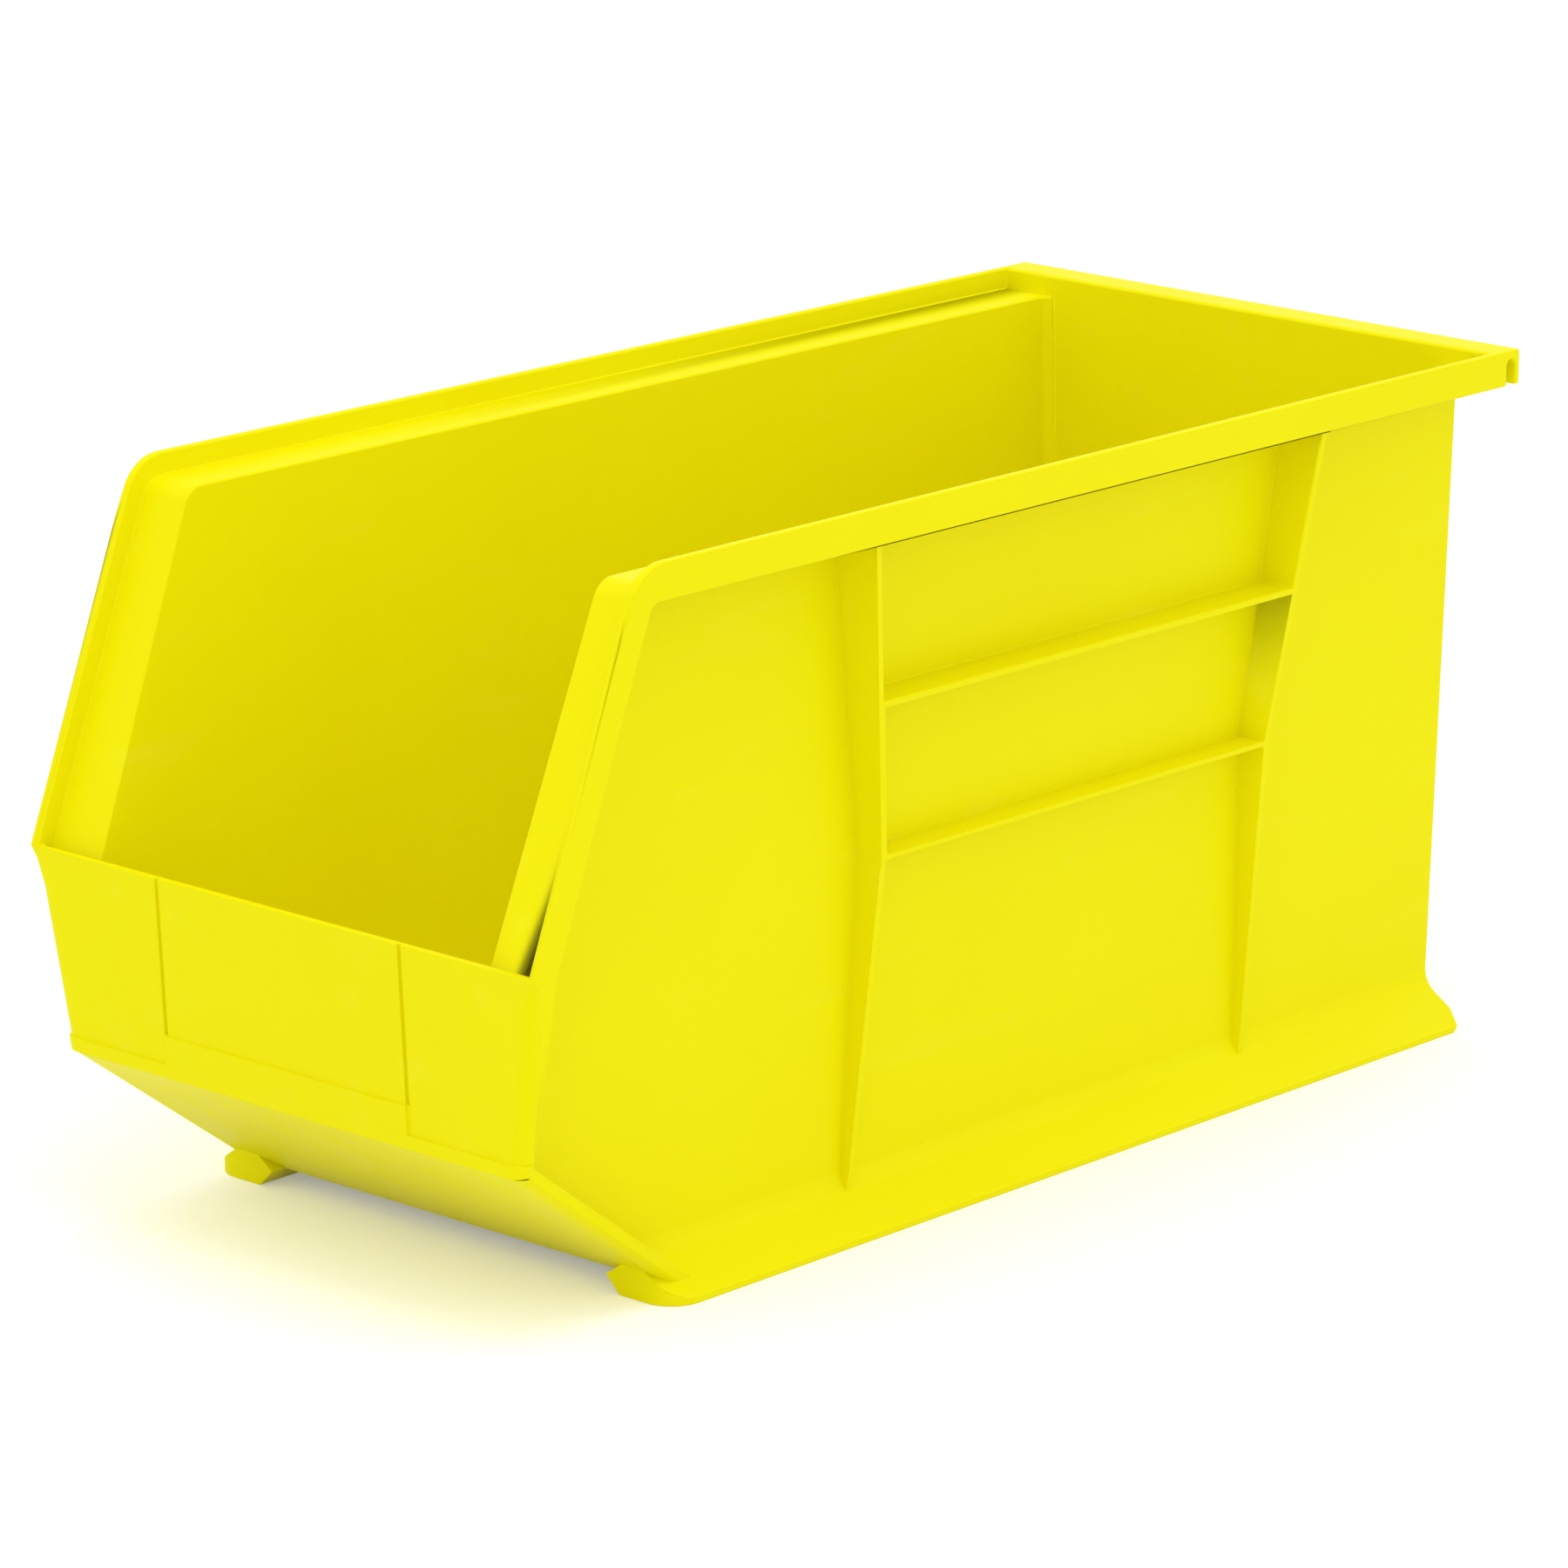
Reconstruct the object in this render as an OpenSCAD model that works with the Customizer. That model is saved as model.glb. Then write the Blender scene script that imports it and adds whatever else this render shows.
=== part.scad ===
// Hopper-front parts bin that hangs on a louvred panel or stacks on its own rails.
// Millimetres, +Z up, front towards -Y. The origin is on the ground, centred in width and depth.
// The bin is one moulding; each wall, ledge, flange, fin and rail of it is a module of its own,
// and neighbours meet face to face.

/* [Overall size] */
// Width across the rim flanges
overall_width = 209.55; // [150:0.05:280]
// Depth from the front panel to the back of the hanger lip
overall_depth = 457.2; // [360:0.1:560]
// Height from the ground to the rim
overall_height = 228.6; // [190:0.1:280]

/* [Walls] */
// Thickness of the walls and the floor
wall = 3; // [2:0.1:4]
// How far the rim flange stands out from the top of the side wall
rim_overhang = 17.6; // [14:0.1:24]
// How much narrower each side wall is at its foot than at its top
wall_draft = 6.2; // [1:0.1:9]
// Height of the floor's underside over the ground
floor_lift = 5; // [3:0.1:8]

/* [Hopper front] */
// Height of the front panel's top edge
panel_top = 116.5; // [95:0.1:140]
// Height of the front panel's bottom edge
panel_bottom = 54; // [40:0.1:66]
// How far the panel's bottom edge is set back from its top edge
panel_lean = 4; // [0:0.1:6]
// How far the rim's front corner is set back from the front panel
slope_run = 43.5; // [35:0.1:55]
// How far the floor's front edge is set back from the front panel
toe_run = 71; // [56:0.1:86]
// How far each side of the front closes in from the rim to the panel's bottom edge
panel_foot_inset = 9.775; // [5:0.005:13]
// How far each side of the front closes in from the rim to the floor
toe_foot_inset = 12.775; // [10:0.005:19]

/* [Rim and ledge] */
// Height of the rim flange along the sides
rim_height = 11.6; // [10.5:0.1:15]
// Depth of the rim flange along the sloped front edges
rim_front_depth = 9.5; // [8:0.1:12]
// Thickness of the rim flange
rim_wall = 2.8; // [2:0.1:3.5]
// How far the stacking ledge lies below the rim
ledge_drop = 7.1; // [5.5:0.1:8]
// Radius of the rim's front corner
rim_corner_r = 15; // [12:0.5:18]
// Depth of the return edge behind the front panel's foot and the toe
skirt_depth = 5.4; // [4:0.1:7]

/* [Hanger] */
// How far the hanger lip's back face stands behind the back wall
hanger_reach = 10.2; // [8:0.1:14]
// Thickness of the hanger lip
lip_wall = 2.5; // [1.8:0.1:3]
// How far the closing cheek at each end reaches behind the back wall
cheek_reach = 3.5; // [1.5:0.1:5]

/* [Side stiffeners] */
// Gap between the fins at the rim
fin_span_top = 213; // [178:1:250]
// Gap between the fins at the lower rib
fin_span_waist = 185; // [155:1:220]
// Gap between the fins at the base
fin_span_foot = 191; // [160:1:225]
// Thickness of a fin
fin_wall = 2.5; // [1.5:0.1:4]
// How far the fins' crest is set in from the rim's outer face at the top
fin_top_inset = 0.8; // [0.3:0.1:2.5]
// How far a fin stands out from the foot of the wall
fin_foot_depth = 3; // [2:0.1:5]
// Height of the upper rib's middle
upper_rib_z = 166.5; // [145:0.5:185]
// Height of the lower rib's middle
lower_rib_z = 117; // [100:0.5:135]
// Thickness of a rib
rib_wall = 2; // [1.5:0.1:3]

/* [Base rails] */
// Height of the rails' top, where the side walls begin
rail_top = 13; // [11:0.1:16]
// How far the rails' flared feet stand out from the foot of the side walls
rail_flare = 17.025; // [15:0.005:20]
// How far the rails reach in under the floor from the foot of the side walls
rail_reach_in = 9.975; // [7:0.005:19]
// How far the rails' front ends are set back from the front panel
rail_front = 64.5; // [60:0.1:74]
// Radius of the rails' front outer corners
rail_corner_r = 11; // [4:0.5:14]

/* [Label area] */
// Width between the two label slots
label_width = 101; // [84:0.5:120]
// Width of a label slot
slot_width = 1.5; // [1:0.1:2.5]
// Depth of a label slot
slot_depth = 1.2; // [0.8:0.1:1.8]
// Height of the ledge the label rests on
label_rest_z = 67.5; // [62:0.5:76]
// Height of the base band's top edge
base_band_z = 58.5; // [57:0.5:60]
// How far the label rest and the base band stand out
band_relief = 1; // [0.6:0.1:1.6]

/* [Hidden] */
$fn = 64;

yellow = [0.94, 0.88, 0.05];
half_width = overall_width / 2;
rim_in = half_width - rim_wall;
wall_top_half = half_width - rim_overhang;
wall_foot_half = wall_top_half - wall_draft;
panel_foot_half = half_width - panel_foot_inset;
toe_foot_half = half_width - toe_foot_inset;
rail_tip_half = wall_foot_half + rail_flare;
rail_inner_half = wall_foot_half - rail_reach_in;
back_out = overall_depth - hanger_reach;
back_in = back_out - wall;
rim_under = overall_height - rim_height;
ledge_z = overall_height - ledge_drop;
ledge_under = ledge_z - wall;
plate_under = overall_height - wall;
ledge_front_drop = rim_front_depth - wall;
fin_middle = (rail_front + back_out) / 2 - 4;
rail_back_rise = 6;
rail_chamfer = 1.5;

// Each line runs along the outside of the hopper's side view, as [depth, height] points, so
// that the inside of the bin lies on its left.
top_line = [[overall_depth, overall_height], [slope_run, overall_height]];
slope_line = [[slope_run, overall_height], [0, panel_top]];
panel_line = [[0, panel_top], [panel_lean, panel_bottom]];
toe_line = [[panel_lean, panel_bottom], [toe_run, floor_lift]];

function unit(v) = v / norm(v);
function cross2(a, b) = a[0] * b[1] - a[1] * b[0];
// The direction from a line straight into the bin, and the line moved that way by d.
function inward(line) = let (u = unit(line[1] - line[0])) [-u[1], u[0]];
function inset(line, d) = [for (p = line) p + d * inward(line)];
// The point where two lines cross.
function meet(a, b) =
    let (r = a[1] - a[0], s = b[1] - b[0]) a[0] + r * cross2(b[0] - a[0], s) / cross2(r, s);
// The line's point at a height.
function at_z(line, z) =
    let (r = line[1] - line[0]) line[0] + r * (z - line[0][1]) / r[1];
// The value at z on a straight run from v0 at z0 to v1 at z1.
function between(z, z0, v0, z1, v1) = v0 + (v1 - v0) * (z - z0) / (z1 - z0);

// Half width of the side walls' outside and inside, and of the fins' crest, at a height.
function wall_x(z) = between(z, rail_top, wall_foot_half, ledge_under, wall_top_half);
function inner_x(z) = wall_x(z) - wall;
function crest_x(z) =
    between(z, rail_top, wall_foot_half + fin_foot_depth, rim_under, half_width - fin_top_inset);
// Half width of the front, which narrows below the rim and again below the panel.
function front_x(z) = z > panel_bottom
    ? between(z, panel_bottom, panel_foot_half, panel_top, half_width)
    : between(z, floor_lift, toe_foot_half, panel_bottom, panel_foot_half);
// Height of the toe's outside at a depth.
function toe_height(y) =
    between(y, toe_line[0][0], toe_line[0][1], toe_line[1][0], toe_line[1][1]);
// Half gap between the fins' outer faces at a height: they close in to a waist at the lower rib.
waist_z = lower_rib_z + rib_wall / 2;
function fin_reach(z) = z > waist_z
    ? between(z, waist_z, fin_span_waist / 2, rim_under, fin_span_top / 2)
    : between(z, rail_top, fin_span_foot / 2, waist_z, fin_span_waist / 2);

// Where the ledge's two surfaces and the rim's lower edge turn down the sloped front.
ledge_corner_top = meet(inset(top_line, ledge_drop), inset(slope_line, ledge_front_drop));
ledge_corner_under = meet(inset(top_line, ledge_drop + wall), inset(slope_line, rim_front_depth));
rim_corner = meet(inset(top_line, rim_height), inset(slope_line, rim_front_depth));

// Places a shape built with its front at depth 0 so that the origin is in the middle.
module placed() translate([0, -overall_depth / 2, 0]) children();

// Draws the right-hand shape, or its mirror image for the left-hand one.
module sided(side) mirror([side == "left" ? 1 : 0, 0, 0]) children();

// Extrudes a [depth, height] outline between two half widths.
module across(x0, x1) translate([x0, 0, 0]) rotate([90, 0, 90]) linear_extrude(x1 - x0) children();

// Extrudes an [x, height] outline through the whole depth.
module along() translate([0, overall_depth + 1, 0]) rotate([90, 0, 0])
    linear_extrude(overall_depth + 2) children();

// The waste outside the rounded rim corner, for a surface at depth d inside the rim's edge.
module corner_waste(d) {
    centre = meet(inset(top_line, rim_corner_r), inset(slope_line, rim_corner_r));
    reach = rim_corner_r - d;
    difference() {
        polygon([centre, centre - (reach + 1) * inward(top_line),
                 meet(inset(top_line, d - 1), inset(slope_line, d - 1)),
                 centre - (reach + 1) * inward(slope_line)]);
        translate(centre) circle(reach);
    }
}

// Everything between the side wall's inside face and the rim, as an [x, height] outline.
module ledge_width() polygon([[inner_x(panel_bottom), panel_bottom],
    for (z = [panel_bottom, panel_top]) [front_x(z) - rim_wall, z], [rim_in, overall_height],
    [inner_x(overall_height), overall_height]]);

// A strip along the outside edge of the front between two heights, as an [x, height] outline.
module edge_strip(z0, z1) polygon([for (z = [z0, min(z1, panel_bottom), z1]) [front_x(z), z],
    for (z = [z1, min(z1, panel_bottom), z0]) [front_x(z) - rim_wall, z]]);

// Floor of the bin.
module floor_panel() color(yellow) placed()
    across(-inner_x(rail_top), inner_x(rail_top))
        polygon([at_z(inset(toe_line, wall), floor_lift),
                 at_z(inset(toe_line, wall), floor_lift + wall),
                 [back_in, floor_lift + wall], [back_in, floor_lift]]);

// Sloped toe between the front panel and the floor.
module toe_slope_panel() color(yellow) placed() difference() {
    intersection() {
        across(-half_width, half_width)
            polygon([toe_line[0], toe_line[1], at_z(inset(toe_line, wall), floor_lift),
                     meet(inset(panel_line, wall), inset(toe_line, wall))]);
        along() polygon([for (z = [floor_lift, panel_bottom, panel_bottom + wall])
                            [-front_x(z), z],
                         for (z = [panel_bottom + wall, panel_bottom, floor_lift])
                            [front_x(z), z]]);
    }
    for (side = ["left", "right"]) sided(side) rail_solid();
}

// Front panel with its two label slots.
module front_panel() color(yellow) placed() difference() {
    intersection() {
        across(-half_width, half_width)
            polygon([panel_line[0], panel_line[1],
                     meet(inset(panel_line, wall), inset(toe_line, wall)),
                     at_z(inset(panel_line, wall), panel_top)]);
        along() front_outline(panel_bottom - wall, panel_top);
    }
    for (x = [-1, 1] * label_width / 2) across(x - slot_width / 2, x + slot_width / 2)
        polygon([at_z(inset(panel_line, -1), label_rest_z),
                 at_z(inset(panel_line, slot_depth), label_rest_z),
                 at_z(inset(panel_line, slot_depth), panel_top + 1),
                 at_z(inset(panel_line, -1), panel_top + 1)]);
}

// The tapering outline of the front between two heights, as an [x, height] outline.
module front_outline(z0, z1) polygon([for (z = [z0, z1]) [-front_x(z), z],
    for (z = [z1, z0]) [front_x(z), z]]);

// A flat band standing out from the front panel between two heights.
module front_band(z0, z1) polygon([at_z(panel_line, z0), at_z(panel_line, z1),
    at_z(inset(panel_line, -band_relief), z1), at_z(inset(panel_line, -band_relief), z0)]);

// Band along the foot of the front panel.
module panel_base_band() color(yellow) placed() intersection() {
    across(-half_width, half_width) front_band(panel_bottom, base_band_z);
    along() front_outline(panel_bottom, base_band_z);
}

// Raised rest that the label stands on, between the slots.
module label_rest() color(yellow) placed()
    across(-label_width / 2, label_width / 2) front_band(base_band_z, label_rest_z);

// Back wall up to the ledges.
module back_wall() color(yellow) placed() intersection() {
    across(-half_width, half_width)
        polygon([[back_in, floor_lift], [back_out, floor_lift], [back_out, ledge_under],
                 [back_in, ledge_under]]);
    along() polygon([for (s = [-1, 1]) each s < 0
        ? [[-inner_x(rail_top), floor_lift], [-inner_x(rail_top), rail_top],
           [-inner_x(ledge_under), ledge_under]]
        : [[inner_x(ledge_under), ledge_under], [inner_x(rail_top), rail_top],
           [inner_x(rail_top), floor_lift]]]);
}

// Top band of the back wall, which closes the ends of the ledges.
module hanger_rail() color(yellow) placed()
    across(-rim_in, rim_in) polygon([[back_in, ledge_under], [back_out, ledge_under],
                                     [back_out, plate_under], [back_in, plate_under]]);

// Flat top of the hanger, from the back wall to the lip.
module hanger_plate() color(yellow) placed()
    across(-half_width, half_width)
        polygon([[back_in, plate_under], [overall_depth, plate_under],
                 [overall_depth, overall_height], [back_in, overall_height]]);

// Lip that drops behind the louvre.
module hanger_lip() color(yellow) placed()
    across(-half_width, half_width)
        polygon([[overall_depth - lip_wall, rim_under], [overall_depth, rim_under],
                 [overall_depth, plate_under], [overall_depth - lip_wall, plate_under]]);

// Cheek that carries the rim flange past the back wall.
module hanger_cheek(side) color(yellow) placed() sided(side)
    across(rim_in, half_width)
        polygon([[back_in, rim_under], [back_out + cheek_reach, rim_under],
                 [back_out + cheek_reach, plate_under], [back_in, plate_under]]);

// Drafted side wall inside the rim, the front panel and the toe.
module side_wall(side) color(yellow) placed() sided(side) intersection() {
    slope = inset(slope_line, rim_front_depth);
    across(0, half_width)
        polygon([at_z(slope, ledge_under), meet(slope, inset(panel_line, wall)),
                 meet(inset(panel_line, wall), inset(toe_line, wall)),
                 at_z(inset(toe_line, wall), rail_top), [back_out, rail_top],
                 [back_out, ledge_under]]);
    along() polygon([[inner_x(rail_top), rail_top], [wall_x(rail_top), rail_top],
                     [wall_x(ledge_under), ledge_under], [inner_x(ledge_under), ledge_under]]);
}

// Ledge that the rails of the bin above stand on.
module side_ledge(side) color(yellow) placed() sided(side) intersection() {
    across(0, half_width) difference() {
        polygon([ledge_corner_top, ledge_corner_under, [back_in, ledge_under],
                 [back_in, ledge_z]]);
        corner_waste(ledge_front_drop);
    }
    along() ledge_width();
}

// The ledge's run down the sloped front edge.
module front_ledge(side) color(yellow) placed() sided(side) intersection() {
    across(0, half_width) difference() {
        polygon([ledge_corner_top,
                 meet(inset(slope_line, ledge_front_drop), inset(panel_line, wall)),
                 meet(inset(slope_line, rim_front_depth), inset(panel_line, wall)),
                 ledge_corner_under]);
        corner_waste(ledge_front_drop);
    }
    along() ledge_width();
}

// Rim flange along the top of the side.
module side_rim(side) color(yellow) placed() sided(side) across(rim_in, half_width) difference() {
    polygon([slope_line[0], rim_corner, [back_in, rim_under], [back_in, overall_height]]);
    corner_waste(0);
}

// Rim flange down the sloped front edge.
module front_rim(side) color(yellow) placed() sided(side) across(rim_in, half_width) difference() {
    polygon([slope_line[0], slope_line[1], at_z(inset(slope_line, rim_front_depth), panel_top),
             rim_corner]);
    corner_waste(0);
}

// Return edge behind the front panel's side, which carries the rim flange down to the toe.
module panel_skirt(side) color(yellow) placed() sided(side) intersection() {
    across(0, half_width)
        polygon([at_z(inset(panel_line, wall), panel_top),
                 at_z(inset(slope_line, rim_front_depth), panel_top),
                 meet(inset(panel_line, skirt_depth), inset(toe_line, skirt_depth)),
                 meet(inset(panel_line, wall), inset(toe_line, wall))]);
    along() edge_strip(panel_bottom, panel_top);
}

// Return edge behind the toe's side, down to the rail's flare.
module toe_skirt(side) color(yellow) placed() sided(side) difference() {
    intersection() {
        across(0, half_width)
            polygon([meet(inset(panel_line, wall), inset(toe_line, wall)),
                     meet(inset(panel_line, skirt_depth), inset(toe_line, skirt_depth)),
                     at_z(inset(toe_line, skirt_depth), floor_lift),
                     at_z(inset(toe_line, wall), floor_lift)]);
        along() edge_strip(floor_lift, panel_bottom + wall);
    }
    rail_solid();
}

// Right-hand rail: an outward flare that stands on the ledge of the bin below.
module rail_solid() intersection() {
    along() polygon([[inner_x(rail_top), rail_top], [wall_x(rail_top), rail_top],
                     [rail_tip_half - rail_chamfer, rail_chamfer * 2],
                     [rail_tip_half, rail_chamfer], [rail_tip_half - rail_chamfer, 0],
                     [rail_inner_half + floor_lift, 0], [rail_inner_half, floor_lift],
                     [inner_x(rail_top), floor_lift]]);
    across(0, half_width)
        polygon([[rail_front + rail_chamfer, 0], [rail_front, rail_chamfer],
                 [rail_front, toe_height(rail_front)], at_z(toe_line, rail_top),
                 [back_out, rail_top], [back_out, rail_back_rise],
                 [back_out - rail_back_rise, 0]]);
    linear_extrude(rail_top) difference() {
        square([half_width, overall_depth]);
        difference() {
            translate([rail_tip_half, rail_front])
                square(2 * rail_corner_r, center = true);
            translate([rail_tip_half - rail_corner_r, rail_front + rail_corner_r])
                circle(rail_corner_r);
        }
    }
}

// Base rail under the side wall.
module base_rail(side) color(yellow) placed() sided(side) rail_solid();

// Upright fin of tapering depth between the wall and the rim. It faces the front or the back.
module fin(side, end) color(yellow) placed() sided(side) difference() {
    intersection() {
        across(0, half_width)
            polygon([for (z = [rail_top - fin_foot_depth, waist_z, ledge_under])
                        [fin_middle + end * fin_reach(z), z],
                     for (z = [ledge_under, waist_z, rail_top - fin_foot_depth])
                        [fin_middle + end * (fin_reach(z) - fin_wall), z]]);
        along() polygon([[wall_x(rail_top - fin_foot_depth), rail_top - fin_foot_depth],
                         [crest_x(rail_top - fin_foot_depth), rail_top - fin_foot_depth],
                         [crest_x(rim_under), rim_under], [rim_in, rim_under],
                         [rim_in, ledge_under], [wall_x(ledge_under), ledge_under]]);
    }
    rail_solid();
}

// Level rib between the two fins, flush with their crests.
module rib(side, middle) color(yellow) placed() sided(side) intersection() {
    heights = [middle - rib_wall / 2, middle + rib_wall / 2];
    across(0, half_width)
        polygon([for (i = [0, 1]) [fin_middle - fin_reach(heights[i]) + fin_wall, heights[i]],
                 for (i = [1, 0]) [fin_middle + fin_reach(heights[i]) - fin_wall, heights[i]]]);
    along() polygon([for (i = [0, 1]) [wall_x(heights[i]), heights[i]],
                     for (i = [1, 0]) [crest_x(heights[i]), heights[i]]]);
}

floor_panel();
toe_slope_panel();
front_panel();
panel_base_band();
label_rest();
back_wall();
hanger_rail();
hanger_plate();
hanger_lip();
side_wall("left");  // left_side_wall
side_wall("right");  // right_side_wall
side_ledge("left");  // left_side_ledge
side_ledge("right");  // right_side_ledge
front_ledge("left");  // left_front_ledge
front_ledge("right");  // right_front_ledge
side_rim("left");  // left_side_rim
side_rim("right");  // right_side_rim
front_rim("left");  // left_front_rim
front_rim("right");  // right_front_rim
hanger_cheek("left");  // left_hanger_cheek
hanger_cheek("right");  // right_hanger_cheek
panel_skirt("left");  // left_panel_skirt
panel_skirt("right");  // right_panel_skirt
toe_skirt("left");  // left_toe_skirt
toe_skirt("right");  // right_toe_skirt
base_rail("left");  // left_base_rail
base_rail("right");  // right_base_rail
fin("left", -1);  // left_front_fin
fin("right", -1);  // right_front_fin
fin("left", 1);  // left_rear_fin
fin("right", 1);  // right_rear_fin
rib("left", upper_rib_z);  // left_upper_rib
rib("right", upper_rib_z);  // right_upper_rib
rib("left", lower_rib_z);  // left_lower_rib
rib("right", lower_rib_z);  // right_lower_rib
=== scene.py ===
"""Looks of a hopper-front parts bin, a single polypropylene moulding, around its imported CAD."""

import logging
import math
from dataclasses import dataclass
from enum import Enum
from typing import Callable, Sequence

import bmesh
import bpy
from mathutils import Matrix, Vector


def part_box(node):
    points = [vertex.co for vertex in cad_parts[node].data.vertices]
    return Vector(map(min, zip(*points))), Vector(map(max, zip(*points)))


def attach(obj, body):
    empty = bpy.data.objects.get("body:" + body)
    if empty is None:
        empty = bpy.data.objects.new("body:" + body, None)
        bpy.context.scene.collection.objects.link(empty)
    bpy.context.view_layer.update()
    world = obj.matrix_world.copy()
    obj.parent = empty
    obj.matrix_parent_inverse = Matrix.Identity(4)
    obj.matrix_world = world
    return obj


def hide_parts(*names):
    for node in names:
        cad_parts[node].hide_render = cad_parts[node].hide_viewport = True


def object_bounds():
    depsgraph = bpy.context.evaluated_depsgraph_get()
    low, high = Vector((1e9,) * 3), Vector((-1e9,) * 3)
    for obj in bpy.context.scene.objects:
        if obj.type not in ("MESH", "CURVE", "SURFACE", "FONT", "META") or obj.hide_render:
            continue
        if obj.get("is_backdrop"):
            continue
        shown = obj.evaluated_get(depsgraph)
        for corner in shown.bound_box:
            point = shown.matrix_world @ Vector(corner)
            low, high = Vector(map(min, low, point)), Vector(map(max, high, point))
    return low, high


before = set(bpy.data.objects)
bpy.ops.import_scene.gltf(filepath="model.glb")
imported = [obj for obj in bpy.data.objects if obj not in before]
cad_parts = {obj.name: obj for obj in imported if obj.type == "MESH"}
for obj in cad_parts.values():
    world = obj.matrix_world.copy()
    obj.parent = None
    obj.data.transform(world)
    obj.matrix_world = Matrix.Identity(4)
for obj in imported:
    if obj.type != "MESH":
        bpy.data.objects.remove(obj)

LOG = logging.getLogger("parts_bin")
Point = tuple[float, float]
Line = tuple[Vector, Vector]
HalfWidth = Callable[[float], float]
MM = 0.001
BODY = "root"
CLEAR = 20.0  # how far a cutter reaches past what it cuts, in mm
SLIVER = 0.02  # keeps two faces that would lie in one plane apart, in mm
FULL_TURN = 2 * math.pi


class Side(Enum):
    """The two halves of the bin, with the sign of their X."""

    LEFT = -1
    RIGHT = 1


class Cut(Enum):
    """What one solid does to another."""

    JOIN = "UNION"
    CARVE = "DIFFERENCE"
    SHARE = "INTERSECT"


# ---------------------------------------------------------------- outlines in the side view


def line(a: Point, b: Point) -> Line:
    """A line through two points."""
    return Vector(a), Vector(b)


def inset(run: Line, depth: float) -> Line:
    """The line moved straight into the bin, which lies on its left.

    Args:
        run: a line along the outside, as [depth, height] points.
        depth: how far in, in mm.

    Returns:
        The moved line.
    """
    u = (run[1] - run[0]).normalized()
    step = Vector((-u.y, u.x)) * depth
    return run[0] + step, run[1] + step


def meet(a: Line, b: Line) -> Vector:
    """The point where two lines cross."""
    r, s = a[1] - a[0], b[1] - b[0]
    gap = b[0] - a[0]
    return a[0] + r * ((gap.x * s.y - gap.y * s.x) / (r.x * s.y - r.y * s.x))


def at_height(run: Line, z: float) -> Vector:
    """The line's point at a height."""
    r = run[1] - run[0]
    return run[0] + r * ((z - run[0].y) / r.y)


def between(z: float, z0: float, v0: float, z1: float, v1: float) -> float:
    """The value at z on a straight run from v0 at z0 to v1 at z1."""
    return v0 + (v1 - v0) * (z - z0) / (z1 - z0)


def rounded(corner: Vector, before: Vector, after: Vector, radius: float, steps: int) -> list[Vector]:
    """The points of an arc that rounds one corner of an outline.

    Args:
        corner: the sharp corner.
        before: a point on the line that comes in.
        after: a point on the line that goes out.
        radius: the arc's radius in mm.
        steps: how many pieces the arc has.

    Returns:
        The arc's points, from the incoming line to the outgoing one.
    """
    u, v = (before - corner).normalized(), (after - corner).normalized()
    half = u.angle(v) / 2
    centre = corner + (u + v).normalized() * (radius / math.sin(half))
    start, end = corner + u * (radius / math.tan(half)), corner + v * (radius / math.tan(half))
    a0 = math.atan2(start.y - centre.y, start.x - centre.x)
    turn = math.remainder(math.atan2(end.y - centre.y, end.x - centre.x) - a0, FULL_TURN)
    return [centre + radius * Vector((math.cos(a0 + turn * i / steps), math.sin(a0 + turn * i / steps)))
            for i in range(steps + 1)]


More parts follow.
